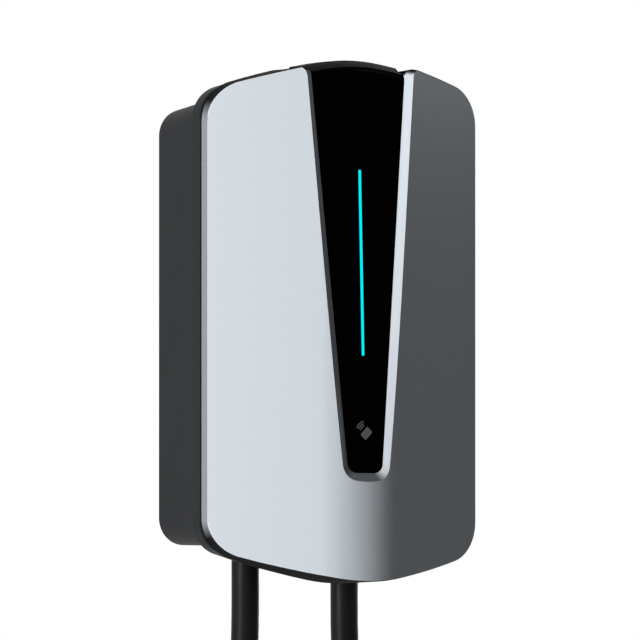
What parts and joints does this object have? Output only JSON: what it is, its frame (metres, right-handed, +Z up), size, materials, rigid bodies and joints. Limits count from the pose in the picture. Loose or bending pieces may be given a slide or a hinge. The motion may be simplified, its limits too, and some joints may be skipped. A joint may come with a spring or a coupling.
{
  "type": "ev wallbox",
  "caption": "Wall-mounted electric car charger: silver winged cover with a tapering black display and light line, dark rear housing, supply cable and charging lead with connector.",
  "frame": {"origin": "centre of the wall bracket's back face, on the wall plane", "axes": "+Z up, +Y into the wall, the front faces -Y, +X to the viewer's right"},
  "size_m": [0.3248, 0.1245, 0.9338],
  "materials": {
    "silver_lacquer": "metallic silver lacquer on moulded plastic",
    "black_gloss": "polished black acrylic",
    "light_bar": "lit diffuser bar",
    "circuit_board": "solder mask",
    "light_chip": "moulded chip",
    "carrier_plastic": "fine moulded",
    "frame_plastic": "fine textured moulding",
    "seal_rubber": "foamed rubber",
    "housing_plastic": "fine textured moulding",
    "zinc_steel": "zinc-plated sheet",
    "screw_steel": "zinc-plated",
    "gland_nylon": "moulded nylon",
    "brass_post": "turned",
    "relay_case": "moulded case",
    "potted_case": "potted case",
    "capacitor_sleeve": "sleeved aluminium can",
    "shield_can": "tinned shield can",
    "terminal_plastic": "moulded nylon",
    "core_insulation": "extruded insulation",
    "ribbon_grey": "extruded ribbon",
    "ferrule_copper": "tinned copper",
    "cable_sheath": "extruded sheath",
    "tie_fabric": "hook-and-loop strap",
    "relief_rubber": "moulded rubber",
    "connector_plastic": "fine textured moulding",
    "contact_silver": "silver-plated",
    "cap_rubber": "moulded rubber"
  },
  "bodies": {
    "root": {"front_cover": "silver_lacquer", "display_panel": "black_gloss", "light_guide": "light_bar", "light_board": "circuit_board", "light_chips": "light_chip", "reader_board": "circuit_board", "panel_carrier": "carrier_plastic", "mid_frame": "frame_plastic", "seal_gasket": "seal_rubber", "rear_housing": "housing_plastic", "wall_bracket": "zinc_steel", "cover_screws": "screw_steel", "frame_screws": "screw_steel", "board_screws": "screw_steel", "gland_bodies": "gland_nylon", "gland_nuts": "gland_nylon", "gland_domes": "gland_nylon", "gland_seals": "seal_rubber", "main_board": "circuit_board", "board_standoffs": "brass_post", "relays": "relay_case", "power_module": "potted_case", "current_sensor": "potted_case", "capacitors": "capacitor_sleeve", "radio_module": "shield_can", "supply_terminals": "terminal_plastic", "lead_terminals": "terminal_plastic", "supply_cores": "core_insulation", "lead_cores": "core_insulation", "supply_core_ends": "core_insulation", "ribbon_cable": "ribbon_grey", "core_ferrules": "ferrule_copper", "supply_cable": "cable_sheath", "lead_cable": "cable_sheath", "lead_coil": "cable_sheath", "coil_ties": "tie_fabric", "connector_relief": "relief_rubber", "connector_handle": "connector_plastic", "connector_grip": "relief_rubber", "connector_head": "connector_plastic", "connector_contacts": "contact_silver", "connector_cap": "cap_rubber"}
  },
  "joints": []
}
